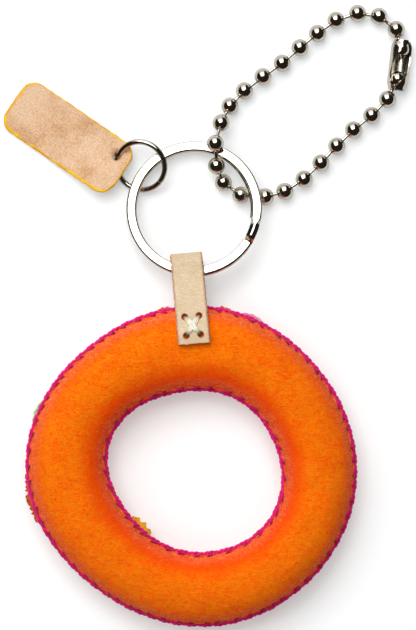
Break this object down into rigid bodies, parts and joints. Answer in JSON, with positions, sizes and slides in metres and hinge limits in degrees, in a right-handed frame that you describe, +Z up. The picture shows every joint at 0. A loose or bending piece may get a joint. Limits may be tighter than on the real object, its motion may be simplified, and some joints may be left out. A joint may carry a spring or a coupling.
{
  "type": "felt bag charm",
  "caption": "Stuffed felt ring charm with a folded leather strap, split ring, jump ring with leather tag, and a ball chain closed by a connector.",
  "frame": {"origin": "on the table, under the middle of the charm's outline", "axes": "+X across the charm, +Y from the felt ring to the chain, +Z up from the table"},
  "size_m": [0.097, 0.1482, 0.0173],
  "materials": {
    "orange_felt": "matte needled wool felt",
    "mustard_felt": "matte felt",
    "green_felt": "matte felt",
    "pink_felt": "matte felt",
    "stuffing": "loose fibre",
    "magenta_yarn": "twisted cotton yarn",
    "waxed_thread": "waxed thread",
    "strap_leather": "smooth, cut edges",
    "tag_leather": "flesh side, painted edge",
    "nickel": "polished nickel plate"
  },
  "bodies": {
    "felt_ring": {"felt_panel_upper": "orange_felt", "felt_panel_lower": "orange_felt", "filling": "stuffing", "outer_seam_thread": "magenta_yarn", "inner_seam_thread": "magenta_yarn", "patch_mustard": "mustard_felt", "patch_green": "green_felt", "patch_pink": "pink_felt", "strap": "strap_leather", "strap_stitch_upper": "waxed_thread", "strap_stitch_lower": "waxed_thread"},
    "split_ring": {"split_ring": "nickel"},
    "ball_chain": {"chain_bead_01": "nickel", "chain_bead_02": "nickel", "chain_bead_03": "nickel", "chain_bead_04": "nickel", "chain_bead_05": "nickel", "chain_bead_06": "nickel", "chain_bead_07": "nickel", "chain_bead_08": "nickel", "chain_bead_09": "nickel", "chain_bead_10": "nickel", "chain_bead_11": "nickel", "chain_bead_12": "nickel", "chain_bead_13": "nickel", "chain_bead_14": "nickel", "chain_bead_15": "nickel", "chain_bead_16": "nickel", "chain_bead_17": "nickel", "chain_bead_18": "nickel", "chain_bead_19": "nickel", "chain_bead_20": "nickel", "chain_bead_21": "nickel", "chain_bead_22": "nickel", "chain_bead_23": "nickel", "chain_bead_24": "nickel", "chain_bead_25": "nickel", "chain_connector": "nickel"},
    "jump_ring": {"jump_ring": "nickel"},
    "leather_tag": {"leather_tag": "tag_leather"}
  },
  "joints": [
    {"name": "split_ring_lift", "type": "hinge", "parent": "felt_ring", "child": "split_ring", "pos_m": [-0.00497, 0.01032, 0.00593], "axis": [0.9912, -0.1044, 0.0809], "range_deg": [0, 90]},
    {"name": "ball_chain_slide", "type": "hinge", "parent": "split_ring", "child": "ball_chain", "pos_m": [-0.0034, 0.02524, 0.0044], "axis": [-0.0694, 0.1091, 0.9916], "range_deg": [-40, 12]},
    {"name": "jump_ring_slide", "type": "hinge", "parent": "split_ring", "child": "jump_ring", "pos_m": [-0.0034, 0.02524, 0.0044], "axis": [-0.0694, 0.1091, 0.9916], "range_deg": [-10, 35]},
    {"name": "leather_tag_slide", "type": "hinge", "parent": "jump_ring", "child": "leather_tag", "pos_m": [-0.01618, 0.03559, 0.00291], "axis": [-0.2463, -0.3042, 0.9202], "range_deg": [-18, 18]}
  ]
}
